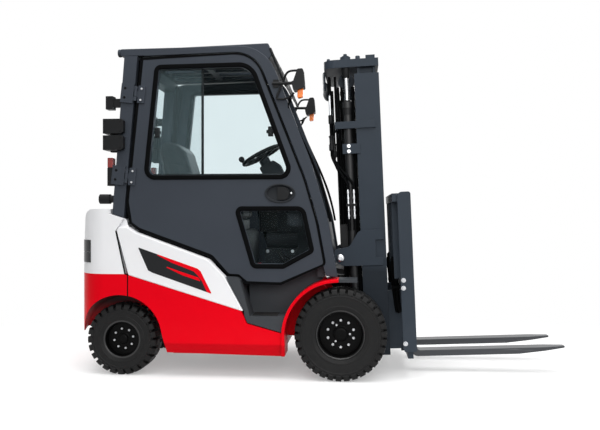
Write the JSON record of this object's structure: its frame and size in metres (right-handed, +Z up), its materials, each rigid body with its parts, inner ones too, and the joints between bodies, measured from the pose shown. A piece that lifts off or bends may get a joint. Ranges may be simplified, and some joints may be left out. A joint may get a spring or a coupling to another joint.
{
  "type": "counterbalance forklift",
  "caption": "Electric counterbalance forklift with a closed cab, tilting two-stage mast, fork carriage, steered rear wheels and hinged doors.",
  "frame": {"origin": "on the floor under the middle of the truck's box, fork tips to tail", "axes": "+X towards the fork tips, +Y to the driver's left, +Z up"},
  "size_m": [3.1633, 1.124, 2.14],
  "materials": {
    "red_paint": "gloss",
    "red_casting": "gloss",
    "white_casting": "gloss",
    "white_panel": "gloss",
    "dark_plastic": "grained",
    "battery_block": "satin",
    "dark_sheet": "satin",
    "slate_paint": "satin",
    "seat_vinyl": "grained",
    "window_glass": "clear",
    "lamp_housing": "satin",
    "amber_lens": "clear",
    "clear_lens": "clear",
    "red_lens": "clear",
    "axle_paint": "satin",
    "black_grip": "grained",
    "mast_paint": "satin",
    "cylinder_paint": "satin",
    "chain_steel": "oiled",
    "bright_rod": "polished",
    "fork_steel": "satin",
    "rim_paint": "satin",
    "tyre": "matte"
  },
  "bodies": {
    "truck": {"chassis": "red_paint", "counterweight": "red_casting", "rear_cover": "white_casting", "side_panels": "white_panel", "front_fenders": "red_paint", "step_wells": "dark_plastic", "battery": "battery_block", "battery_hood": "dark_sheet", "floor_plate": "dark_sheet", "cowl": "slate_paint", "dash": "dark_plastic", "seat_base": "dark_sheet", "seat": "seat_vinyl", "controls": "dark_plastic", "cab_rear_frame": "slate_paint", "guard_rails": "slate_paint", "roof_panel": "slate_paint", "cab_glass": "window_glass", "headlamps": "lamp_housing", "turn_lamps": "amber_lens", "lamp_lenses": "clear_lens", "rear_lamps": "lamp_housing", "tail_lamps": "red_lens", "front_axle": "axle_paint", "rear_axle": "axle_paint"},
    "steering_wheel": {"steering_wheel": "black_grip"},
    "door_right": {"door_right": "slate_paint", "door_glass_right": "window_glass"},
    "door_left": {"door_left": "slate_paint", "door_glass_left": "window_glass"},
    "front_wheel_right": {"front_rim_right": "rim_paint", "front_tyre_right": "tyre"},
    "front_wheel_left": {"front_rim_left": "rim_paint", "front_tyre_left": "tyre"},
    "knuckle_right": {"knuckle_right": "axle_paint"},
    "knuckle_left": {"knuckle_left": "axle_paint"},
    "rear_wheel_right": {"rear_rim_right": "rim_paint", "rear_tyre_right": "tyre"},
    "rear_wheel_left": {"rear_rim_left": "rim_paint", "rear_tyre_left": "tyre"},
    "mast": {"outer_mast": "mast_paint", "lift_cylinders": "cylinder_paint", "chain_rear": "chain_steel"},
    "inner_mast": {"inner_mast": "mast_paint", "lift_rods": "bright_rod", "chain_front": "chain_steel"},
    "carriage": {"carriage": "mast_paint", "backrest": "mast_paint", "forks": "fork_steel"},
    "tilt_barrels": {"tilt_barrels": "cylinder_paint"},
    "tilt_rods": {"tilt_rods": "bright_rod"}
  },
  "joints": [
    {"name": "front_spin_right", "type": "hinge", "parent": "truck", "child": "front_wheel_right", "pos_m": [0.13041, -0.4595, 0.2885], "axis": [0, 1, 0], "continuous": true},
    {"name": "front_spin_left", "type": "hinge", "parent": "truck", "child": "front_wheel_left", "pos_m": [0.13041, 0.4595, 0.2885], "axis": [0, 1, 0], "continuous": true},
    {"name": "steer_right", "type": "hinge", "parent": "truck", "child": "knuckle_right", "pos_m": [-1.28159, -0.34, 0.23], "axis": [0, 0, 1], "range_deg": [-65, 65]},
    {"name": "steer_left", "type": "hinge", "parent": "truck", "child": "knuckle_left", "pos_m": [-1.28159, 0.34, 0.23], "axis": [0, 0, 1], "range_deg": [-65, 65]},
    {"name": "rear_spin_right", "type": "hinge", "parent": "knuckle_right", "child": "rear_wheel_right", "pos_m": [-1.28159, -0.42, 0.23], "axis": [0, 1, 0], "continuous": true},
    {"name": "rear_spin_left", "type": "hinge", "parent": "knuckle_left", "child": "rear_wheel_left", "pos_m": [-1.28159, 0.42, 0.23], "axis": [0, 1, 0], "continuous": true},
    {"name": "mast_tilt", "type": "hinge", "parent": "truck", "child": "mast", "pos_m": [0.13041, 0, 0.2885], "axis": [0, 1, 0], "range_deg": [-5.6, 8.4]},
    {"name": "mast_lift", "type": "slide", "parent": "mast", "child": "inner_mast", "axis": [-0.0419, 0, 0.9991], "range_m": [-0.038, 1.45], "deforming": ["chain_rear"]},
    {"name": "carriage_lift", "type": "slide", "parent": "inner_mast", "child": "carriage", "axis": [-0.0419, 0, 0.9991], "range_m": [-0.038, 1.45], "deforming": ["chain_front"]},
    {"name": "tilt_swing", "type": "hinge", "parent": "truck", "child": "tilt_barrels", "pos_m": [-0.28959, 0, 0.56], "axis": [0, 1, 0], "range_deg": [-2.6, 3.8]},
    {"name": "tilt_stroke", "type": "slide", "parent": "tilt_barrels", "child": "tilt_rods", "axis": [0.9058, 0, 0.4237], "range_m": [-0.043, 0.064]},
    {"name": "door_swing_right", "type": "hinge", "parent": "truck", "child": "door_right", "pos_m": [-1.24859, -0.497, 1.284], "axis": [-0.1127, 0, -0.9936], "range_deg": [0, 85]},
    {"name": "door_swing_left", "type": "hinge", "parent": "truck", "child": "door_left", "pos_m": [-1.24859, 0.497, 1.284], "axis": [0.1127, 0, 0.9936], "range_deg": [0, 85]},
    {"name": "steering_spin", "type": "hinge", "parent": "truck", "child": "steering_wheel", "pos_m": [-0.44159, 0, 1.455], "axis": [-0.4695, 0, 0.8829], "continuous": true}
  ],
  "couplings": [
    {"joint": "steer_left", "follows": "steer_right", "ratio": 1},
    {"joint": "carriage_lift", "follows": "mast_lift", "ratio": 1},
    {"joint": "tilt_swing", "follows": "mast_tilt", "ratio": 0.4236},
    {"joint": "tilt_stroke", "follows": "mast_tilt", "m_per_rad": 0.4199}
  ]
}
